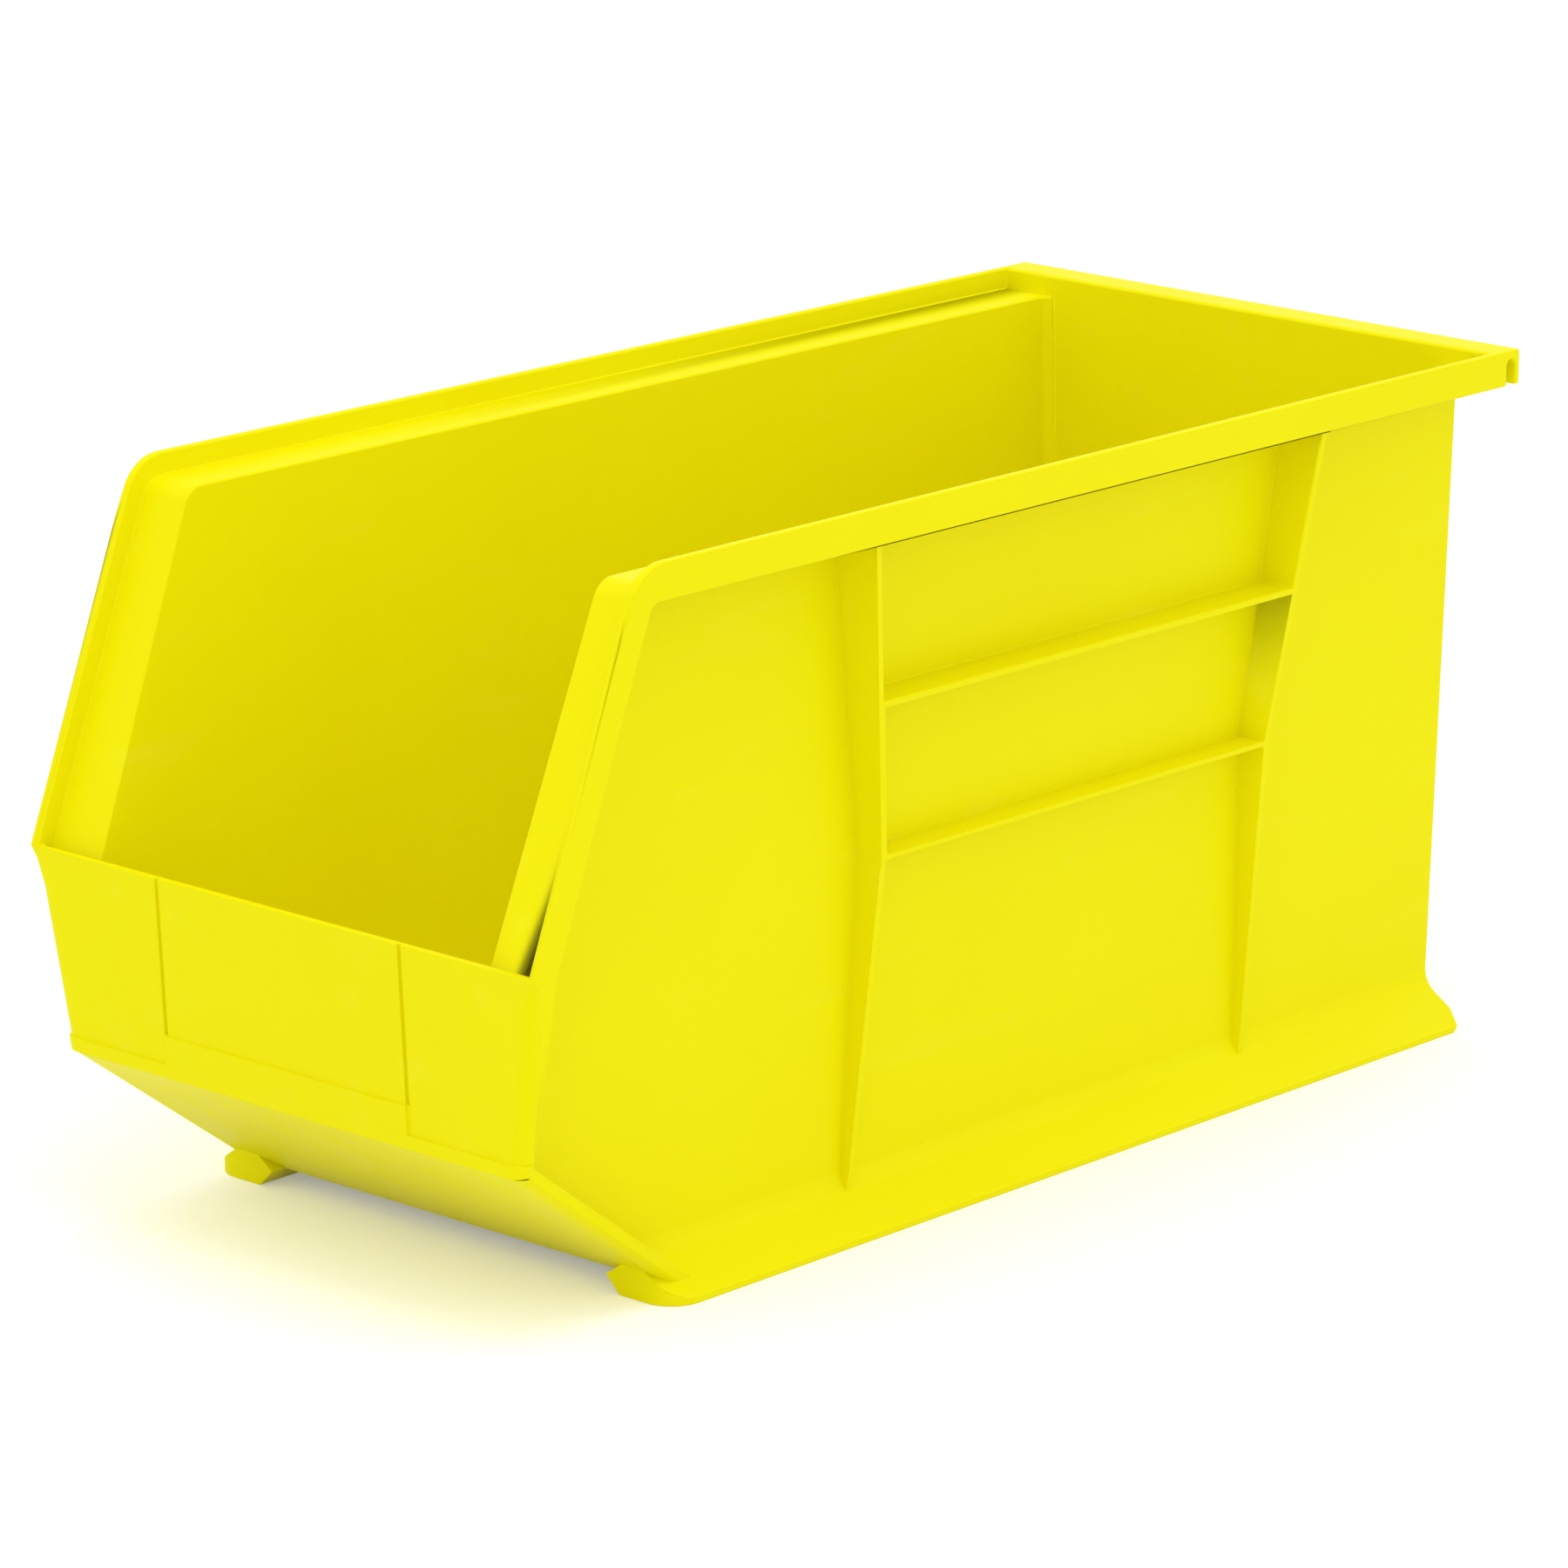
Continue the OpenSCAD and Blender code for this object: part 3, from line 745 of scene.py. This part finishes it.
@dataclass
class HopperShell:
    """The walls, ledges, rim and hanger: an outer block from which the hollows are carved."""

    sizes: BinSizes
    inside_r: float = 4.0
    arc_steps: int = 10
    channel_r: float = 2.0

    def block(self) -> bpy.types.Object:
        """The outside of the whole bin over its rails."""
        s = self.sizes
        corner = Vector((s.slope_run, s.overall_height))
        outline = [Vector((s.overall_depth, s.overall_height)),
                   *rounded(corner, s.top_line[0], s.slope_line[1], s.rim_corner_r, self.arc_steps),
                   s.panel_line[0], s.toe_line[0], s.toe_line[1],
                   *(Vector((s.back_out, z)) for z in (s.floor_lift, s.panel_bottom, s.panel_top, s.rim_under)),
                   Vector((s.overall_depth, s.rim_under))]
        return slab("moulding", outline, lambda z: -s.front_x(z), s.front_x, (s.panel_bottom, s.panel_top))

    def side_hollows(self) -> bpy.types.Object:
        """The space beside the walls, under the rims and behind the front's return edges."""
        s = self.sizes
        slope = inset(s.slope_line, s.rim_front_depth)
        corner = meet(inset(s.top_line, s.rim_height), slope)
        skirt = inset(s.panel_line, s.skirt_depth), inset(s.toe_line, s.skirt_depth)
        far_back = s.overall_depth + CLEAR
        under_rim = [Vector((far_back, s.rim_under)),
                     *rounded(corner, Vector((far_back, corner.y)), slope[1],
                              s.rim_corner_r - s.rim_height + 0.6, 5),
                     at_height(slope, s.panel_top), meet(*skirt), at_height(skirt[1], -CLEAR),
                     Vector((far_back, -CLEAR))]
        deep = inset(s.slope_line, s.rim_front_depth + 1)
        plate = inset(s.panel_line, s.wall), inset(s.toe_line, s.wall)
        back = (s.back_out + s.overall_depth - s.lip_wall) / 2
        under_ledge = [Vector((back, s.ledge_under)),
                       meet(inset(s.top_line, s.ledge_drop + s.wall), deep), at_height(deep, s.panel_top),
                       meet(deep, plate[0]), meet(*plate), at_height(plate[1], s.panel_bottom),
                       at_height(plate[1], -CLEAR),
                       *(Vector((back, z)) for z in (-CLEAR, s.panel_bottom, s.panel_top))]
        core_half = s.wall_foot_half - CLEAR
        hollows = None
        for side in Side:
            sign = side.value
            made = slab("hollow", under_rim, lambda z: sign * core_half, lambda z: sign * (s.half_width + CLEAR))
            combine(made, Cut.JOIN, slab("recess", under_ledge, lambda z: sign * (core_half - 5),
                                         lambda z: sign * s.strip_x(z), (s.panel_bottom, s.panel_top)))
            hollows = combine(hollows, Cut.JOIN, made) if hollows else made
        low, high = -3 * CLEAR, s.overall_height + 3 * CLEAR
        core = [Vector((low, low)), Vector((s.overall_depth - low, low)),
                Vector((s.overall_depth - low, high)), Vector((low, high))]
        return combine(hollows, Cut.CARVE, slab("core", core, lambda z: -s.wall_x(z), s.wall_x))

    def cavity(self) -> bpy.types.Object:
        """The inside of the bin, with its corners rounded."""
        s = self.sizes
        panel, toe = inset(s.panel_line, s.wall), inset(s.toe_line, s.wall)
        floor = s.floor_lift + s.wall
        high = s.overall_height + CLEAR
        outline = [at_height(panel, high), meet(panel, toe), at_height(toe, floor),
                   Vector((s.back_in, floor)), Vector((s.back_in, high))]
        made = slab("cavity", outline, lambda z: -s.inner_x(z), s.inner_x)
        ease_edges(made, self.inside_r, 5, lambda e: not all(v.co.z > high - 1 for v in e.verts))
        return made

    def trough(self) -> bpy.types.Object:
        """The space over the stacking ledges, between the rims and open to the front."""
        s = self.sizes
        ledge, slope = inset(s.top_line, s.ledge_drop), inset(s.slope_line, s.rim_front_depth - s.wall)
        panel = inset(s.panel_line, s.wall)
        corner, high = meet(ledge, slope), s.overall_height + CLEAR
        outline = [Vector((s.back_in, corner.y)),
                   *rounded(corner, Vector((s.back_in, corner.y)), slope[1],
                            s.rim_corner_r - s.ledge_drop, self.arc_steps),
                   at_height(slope, s.panel_top), meet(slope, panel), at_height(panel, s.panel_top),
                   Vector((-CLEAR, s.panel_top)), Vector((-CLEAR, high)), Vector((s.back_in, high))]
        return slab("trough", outline, lambda z: -s.strip_x(z), s.strip_x, (s.panel_top,))

    def channel(self) -> list[bpy.types.Object]:
        """The hanger's channel and its open ends."""
        s = self.sizes
        top, lip = s.overall_height - s.wall, s.overall_depth - s.lip_wall
        made = []
        for name, start, half in (("channel", s.back_out, s.half_width - s.rim_wall),
                                  ("channel_end", s.back_out + s.cheek_reach, s.half_width + CLEAR)):
            low = s.rim_under - CLEAR
            a, b = Vector((lip, top)), Vector((start, top))
            outline = [Vector((lip, low)), *rounded(a, Vector((lip, low)), b, self.channel_r, 4),
                       *rounded(b, a, Vector((start, low)), self.channel_r, 4), Vector((start, low))]
            made.append(slab(name, outline, lambda z: -half, lambda z: half))
        return made

    def build(self) -> bpy.types.Object:
        """Carves the outer shell, before the fins, ribs and rails are joined on."""
        return combine(self.block(), Cut.CARVE, self.side_hollows())

    def hollow_out(self, shell: bpy.types.Object) -> bpy.types.Object:
        """Carves the inside, once everything outside is joined on."""
        return combine(shell, Cut.CARVE, self.cavity(), self.trough(), *self.channel())


@dataclass
class FrontCorners:
    """The wide rounding between the front's face and its return edges, which fades out at the rim."""

    sizes: BinSizes
    radius: float = 5.0
    toe_radius: float = 4.2
    steps: int = 8
    reach: float = 3.0

    def face(self, z: float, toe: bool) -> float:
        """Depth of the front panel's or the toe's face at a height."""
        run = self.sizes.toe_line if toe else self.sizes.panel_line
        return at_height(run, z).x

    def ring(self, z: float, radius: float, depth: float) -> list[tuple[float, float, float]]:
        """The waste outside the rounding at one height, as points round it."""
        edge = self.sizes.front_x(z)
        corner = Vector((edge + SLIVER, depth - SLIVER))
        arc = rounded(corner, corner + Vector((0, CLEAR)), corner - Vector((CLEAR, 0)), radius, self.steps)
        points = [Vector((edge + self.reach, depth - self.reach)), Vector((edge + self.reach, arc[0].y)), *arc,
                  Vector((arc[-1].x, depth - self.reach))]
        return [(p.x, p.y, z) for p in points]

    def stretches(self) -> list[list[tuple[float, float, float]]]:
        """The panel, the base band and the toe, each as rows of height, radius and depth."""
        s, r = self.sizes, self.radius

        def row(z: float, radius: float, toe: bool = False, proud: float = 0.0) -> tuple[float, float, float]:
            """One row on the panel's or the toe's face."""
            return z, radius, self.face(z, toe) - proud

        return [[row(s.panel_top, 0.3), row(s.panel_top - 4, r * 0.6), row(s.panel_top - 12, r),
                 row(s.base_band_z, r)],
                [row(s.base_band_z, r, proud=s.band_relief), row(s.panel_bottom, r, proud=s.band_relief)],
                [row(s.panel_bottom, self.toe_radius, True), row(s.floor_lift, self.toe_radius, True),
                 row(-3.0, self.toe_radius, True)]]

    def waste(self, side: Side, rows: Sequence[tuple[float, float, float]]) -> bpy.types.Object:
        """The solid that is carved off one side of a stretch of the front.

        Args:
            side: the side of the bin.
            rows: height, radius and depth of each row, from the top down.

        Returns:
            A closed mesh in millimetres.
        """
        bm = bmesh.new()
        rings = [[bm.verts.new((side.value * x, y, z)) for x, y, z in self.ring(z, r, d)] for z, r, d in rows]
        for upper, lower in zip(rings, rings[1:]):
            for i in range(len(upper)):
                j = (i + 1) % len(upper)
                bm.faces.new((upper[i], upper[j], lower[j], lower[i]))
        bm.faces.new(rings[0])
        bm.faces.new(rings[-1])
        bmesh.ops.triangulate(bm, faces=bm.faces[:])
        bmesh.ops.recalc_face_normals(bm, faces=bm.faces)
        mesh = bpy.data.meshes.new("corner_waste")
        bm.to_mesh(mesh)
        bm.free()
        return new_object("corner_waste", mesh)

    def round_off(self, shell: bpy.types.Object, *stretches: int) -> bpy.types.Object:
        """Rounds both sides of the front along the numbered stretches."""
        for side in Side:
            for place in stretches:
                combine(shell, Cut.CARVE, self.waste(side, self.stretches()[place]))
        return shell


@dataclass
class LabelArea:
    """The label's rest between two slots, and the band along the foot of the front panel."""

    sizes: BinSizes

    def band(self, low: float, high: float, half: HalfWidth) -> bpy.types.Object:
        """A band standing out from the front panel between two heights."""
        s = self.sizes
        outer, inner = inset(s.panel_line, -s.band_relief), inset(s.panel_line, 1.0)
        outline = [at_height(outer, low), at_height(outer, high), at_height(inner, high), at_height(inner, low)]
        return slab("band", outline, lambda z: -half(z), half)

    def build(self, shell: bpy.types.Object) -> bpy.types.Object:
        """Joins the bands to the shell and carves the two slots."""
        s = self.sizes
        combine(shell, Cut.JOIN, self.band(s.base_band_z - 0.5, s.label_rest_z, lambda z: s.label_width / 2))
        combine(shell, Cut.JOIN, self.band(s.panel_bottom, s.base_band_z, s.front_x))
        outer, inner = inset(s.panel_line, -CLEAR / 4), inset(s.panel_line, s.slot_depth)
        high = s.panel_top + CLEAR / 4
        cut = [at_height(outer, s.label_rest_z), at_height(inner, s.label_rest_z), at_height(inner, high),
               at_height(outer, high)]
        for side in Side:
            middle = side.value * s.label_width / 2
            combine(shell, Cut.CARVE, slab("slot", cut, lambda z: middle - s.slot_width / 2,
                                           lambda z: middle + s.slot_width / 2))
        return shell


# ---------------------------------------------------------------- rounding and placing


@dataclass(frozen=True)
class EdgeRule:
    """How far the sharp edges of one kind are rounded."""

    radius: float
    holds: Callable[[Vector, Vector], bool]


@dataclass
class MouldedEdges:
    """The small radii that every edge of a moulding has."""

    sizes: BinSizes
    plain_r: float = 0.8
    widest: float = 3.0
    steps: int = 3
    sharp_from: float = 24.0
    sharp_to: float = 140.0
    share: float = 0.4
    straight: float = math.radians(172)
    least: float = 0.15
    bend: float = math.radians(125)

    def rules(self) -> list[EdgeRule]:
        """The kinds of edge that aren't rounded by the plain radius, the first that holds first."""
        s = self.sizes
        ledge_z = s.overall_height - s.ledge_drop
        return [
            EdgeRule(0.3, lambda m, u: m.y < s.panel_lean + 2 and abs(abs(m.x) - s.label_width / 2) < 1
                     and m.z > s.label_rest_z - 1),
            EdgeRule(0.35, lambda m, u: m.y < s.panel_lean + 2 and m.z < s.label_rest_z + 2
                     and abs(m.x) < s.panel_foot_half - 1 and m.z > s.panel_bottom + 1),
            EdgeRule(1.8, lambda m, u: abs(abs(m.x) - s.inner_x(m.z)) < 0.6
                     and m.y < s.back_in - 3 and m.z > s.panel_top - 8
                     and abs(u.x) < 0.5 and m.z < ledge_z + 1),
            EdgeRule(1.1, lambda m, u: m.z > s.overall_height - 0.5),
            EdgeRule(0.55, lambda m, u: s.rim_under - 0.5 < m.z < s.ledge_under + 0.5
                     and abs(m.x) < s.half_width - 1),
        ]

    def sharp(self, edge: bmesh.types.BMEdge) -> bool:
        """Says whether two faces meet at an edge sharply enough for it to be rounded."""
        return len(edge.link_faces) == 2 and edge.calc_face_angle(0) >= math.radians(self.sharp_from)

    def room(self, edge: bmesh.types.BMEdge) -> float:
        """The widest rounding that fits between an edge and what is round it.

        Args:
            edge: a sharp edge.

        Returns:
            The radius in millimetres, which leaves the neighbouring edges a part of their length.
        """
        limits = [self.widest]
        limits += [face.calc_area() / edge.calc_length() * self.share for face in edge.link_faces]
        for vert in edge.verts:
            along = edge.other_vert(vert).co - vert.co
            for other in vert.link_edges:
                if other == edge:
                    continue
                way = other.other_vert(vert).co - vert.co
                turn = along.angle(way, math.pi / 2)
                if turn > self.straight:
                    continue
                if self.sharp(other):
                    limits.append(math.tan(turn / 2) * min(along.length, way.length) * self.share)
                else:
                    limits.append(math.sin(turn) * way.length * self.share)
        return min(limits)

    def evened(self, widths: dict[bmesh.types.BMEdge, float]) -> dict[bmesh.types.BMEdge, float]:
        """Gives edges that run on from each other the same rounding, the narrowest among them."""
        even = dict(widths)
        waiting = list(widths)
        while waiting:
            edge = waiting.pop()
            for vert in edge.verts:
                along = edge.other_vert(vert).co - vert.co
                for other in vert.link_edges:
                    if other == edge or even.get(other, 0.0) <= even[edge]:
                        continue
                    if along.angle(other.other_vert(vert).co - vert.co, 0.0) > self.bend:
                        even[other] = even[edge]
                        waiting.append(other)
        return even

    def apply(self, obj: bpy.types.Object) -> bpy.types.Object:
        """Rounds the sharp edges of the whole moulding."""
        bm = bmesh.new()
        bm.from_mesh(obj.data)
        weight = bm.edges.layers.float.new("bevel_weight_edge")
        rules = self.rules()
        widths: dict[bmesh.types.BMEdge, float] = {}
        for edge in bm.edges:
            if not self.sharp(edge):
                continue
            a, b = (v.co for v in edge.verts)
            middle, along = (a + b) / 2, (b - a).normalized()
            radius = next((r.radius for r in rules if r.holds(middle, along)), self.plain_r)
            acute = edge.calc_face_angle(0) > math.radians(self.sharp_to)
            widths[edge] = 0.0 if acute else min(radius, self.room(edge))
        for edge, width in self.evened({e: w for e, w in widths.items() if w > self.least}).items():
            edge[weight] = width / self.widest
        for edge in widths:
            edge.smooth = edge[weight] > 0
        bm.to_mesh(obj.data)
        bm.free()
        step = obj.modifiers.new("edges", "BEVEL")
        step.limit_method, step.width, step.segments = "WEIGHT", self.widest, self.steps
        step.offset_type, step.use_clamp_overlap, step.miter_inner = "OFFSET", False, "MITER_SHARP"
        for face in obj.data.polygons:
            face.use_smooth = True
        shade = obj.modifiers.new("shade", "WEIGHTED_NORMAL")
        shade.mode, shade.weight, shade.keep_sharp = "FACE_AREA", 100, True
        return baked(obj)


def seat(obj: bpy.types.Object, sizes: BinSizes) -> None:
    """Moves a mesh from millimetres with its front at depth 0 to the row frame in metres."""
    obj.data.transform(Matrix.Scale(MM, 4) @ Matrix.Translation((0, -sizes.overall_depth / 2, 0)))


# ---------------------------------------------------------------- studio


@dataclass
class Studio:
    """A pale floor, an even white sky and soft lamps."""

    sky: float = 0.97
    floor_size: float = 40.0
    pale: str = "#F4F4F4"

    def seen_ray(self, tree: bpy.types.NodeTree) -> bpy.types.NodeSocket:
        """A value of 1 for what is seen directly, mirrored or through something clear."""
        path = add_node(tree, "ShaderNodeLightPath")
        mirrored = add_node(tree, "ShaderNodeMath", {0: path.outputs["Is Camera Ray"],
                                                     1: path.outputs["Is Glossy Ray"]}, operation="MAXIMUM")
        clear = add_node(tree, "ShaderNodeMath", {0: mirrored.outputs[0],
                                                  1: path.outputs["Is Transmission Ray"]}, operation="MAXIMUM")
        return clear.outputs[0]

    def paper(self) -> bpy.types.Material:
        """Pale paper that keeps shadows, lifted to white where the camera sees it."""
        material = bpy.data.materials.new("pale_paper")
        material.use_nodes = True
        tree = material.node_tree
        tree.nodes.clear()
        seen_ray = self.seen_ray(tree)
        matt = add_node(tree, "ShaderNodeBsdfDiffuse", {"Color": linear(self.pale)})
        lift = add_node(tree, "ShaderNodeEmission", {"Strength": 0.25})
        seen = add_node(tree, "ShaderNodeAddShader", {0: matt.outputs[0], 1: lift.outputs[0]})
        mixed = add_node(tree, "ShaderNodeMixShader", {0: seen_ray, 1: matt.outputs[0], 2: seen.outputs[0]})
        add_node(tree, "ShaderNodeOutputMaterial", {"Surface": mixed.outputs[0]})
        return material

    def floor(self) -> None:
        """Lays the floor at the height of the bin's feet."""
        half = self.floor_size / 2
        mesh = bpy.data.meshes.new("floor")
        mesh.from_pydata([(-half, -half, 0), (half, -half, 0), (half, half, 0), (-half, half, 0)], [],
                         [(0, 1, 2, 3)])
        mesh.materials.append(self.paper())
        new_object("floor", mesh)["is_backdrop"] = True

    def world(self) -> None:
        """Sets the sky, which the camera and glossy rays see as white."""
        world = bpy.data.worlds.new("sky")
        bpy.context.scene.world = world
        world.use_nodes = True
        tree = world.node_tree
        tree.nodes.clear()
        seen_ray = self.seen_ray(tree)
        soft = add_node(tree, "ShaderNodeBackground", {"Color": (1, 1, 1, 1), "Strength": self.sky})
        white = add_node(tree, "ShaderNodeBackground", {"Color": (1, 1, 1, 1), "Strength": 1.0})
        mixed = add_node(tree, "ShaderNodeMixShader", {0: seen_ray, 1: soft.outputs[0], 2: white.outputs[0]})
        add_node(tree, "ShaderNodeOutputWorld", {"Surface": mixed.outputs[0]})

    def lamp(self, name: str, place: Sequence[float], power: float, size: float) -> None:
        """Hangs one soft square lamp that faces the bin."""
        light = bpy.data.lights.new(name, "AREA")
        light.energy, light.size = power, size
        lamp = bpy.data.objects.new(name, light)
        bpy.context.scene.collection.objects.link(lamp)
        lamp.location = place
        lamp.rotation_euler = (Vector((0, 0, 0.11)) - Vector(place)).to_track_quat("-Z", "Y").to_euler()

    def build(self) -> None:
        """Makes the floor, the sky and the lamps."""
        self.floor()
        self.world()
        self.lamp("top_lamp", (0.3, -0.2, 1.9), 7.0, 1.2)
        self.lamp("side_lamp", (1.7, 0.5, 0.9), 1.0, 1.0)
        self.lamp("front_lamp", (0.2, -1.7, 0.35), 0.4, 0.8)


@dataclass(frozen=True)
class View:
    """The camera: a long lens from the front right, a little above."""

    place: tuple[float, float, float] = (1.49498, -1.65983, 0.71709)
    yaw: float = 40.97
    pitch: float = 15.13
    roll: float = 0.51
    lens: float = 169.76
    shift: tuple[float, float] = (-0.0944, -0.0072)

    def build(self) -> None:
        """Makes the scene's camera."""
        data = bpy.data.cameras.new("camera")
        data.lens, data.sensor_width = self.lens, 36.0
        data.shift_x, data.shift_y = self.shift
        data.clip_start, data.clip_end = 0.05, 100.0
        camera = bpy.data.objects.new("camera", data)
        bpy.context.scene.collection.objects.link(camera)
        yaw, pitch, roll = (math.radians(a) for a in (self.yaw, self.pitch, self.roll))
        ahead = Vector((-math.sin(yaw) * math.cos(pitch), math.cos(yaw) * math.cos(pitch), -math.sin(pitch)))
        right = ahead.cross(Vector((0, 0, 1))).normalized()
        up = right.cross(ahead)
        x = right * math.cos(roll) + up * math.sin(roll)
        y = up * math.cos(roll) - right * math.sin(roll)
        turn = Matrix((x, y, -ahead)).transposed().to_4x4()
        camera.matrix_world = Matrix.Translation(self.place) @ turn
        bpy.context.scene.camera = camera


def main() -> None:
    """Builds the moulding, dresses it, and sets the studio and the camera."""
    logging.basicConfig(level=logging.INFO, format="%(name)s: %(message)s")
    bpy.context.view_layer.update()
    sizes = BinSizes.from_frame()
    LOG.info("sizes %s", sizes)
    plastic = MouldedPolypropylene().build()
    hopper = HopperShell(sizes)
    corners = FrontCorners(sizes)
    shell = corners.round_off(hopper.build(), 0, 2)
    combine(shell, Cut.JOIN, StiffenerPlates(sizes, plastic).build())
    for side in Side:
        combine(shell, Cut.JOIN, BaseRails(sizes).build(side))
    hopper.hollow_out(shell)
    LabelArea(sizes).build(shell)
    corners.round_off(shell, 1)
    tidy_mesh(shell)
    MouldedEdges(sizes).apply(shell)
    seat(shell, sizes)
    shell.data.materials.clear()
    shell.data.materials.append(plastic)
    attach(shell, BODY)
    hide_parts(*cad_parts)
    LOG.info("%s: %d faces", shell.name, len(shell.data.polygons))
    Studio().build()
    View().build()
    bpy.context.scene.view_settings.view_transform = "Standard"


if __name__ == "__main__":
    main()
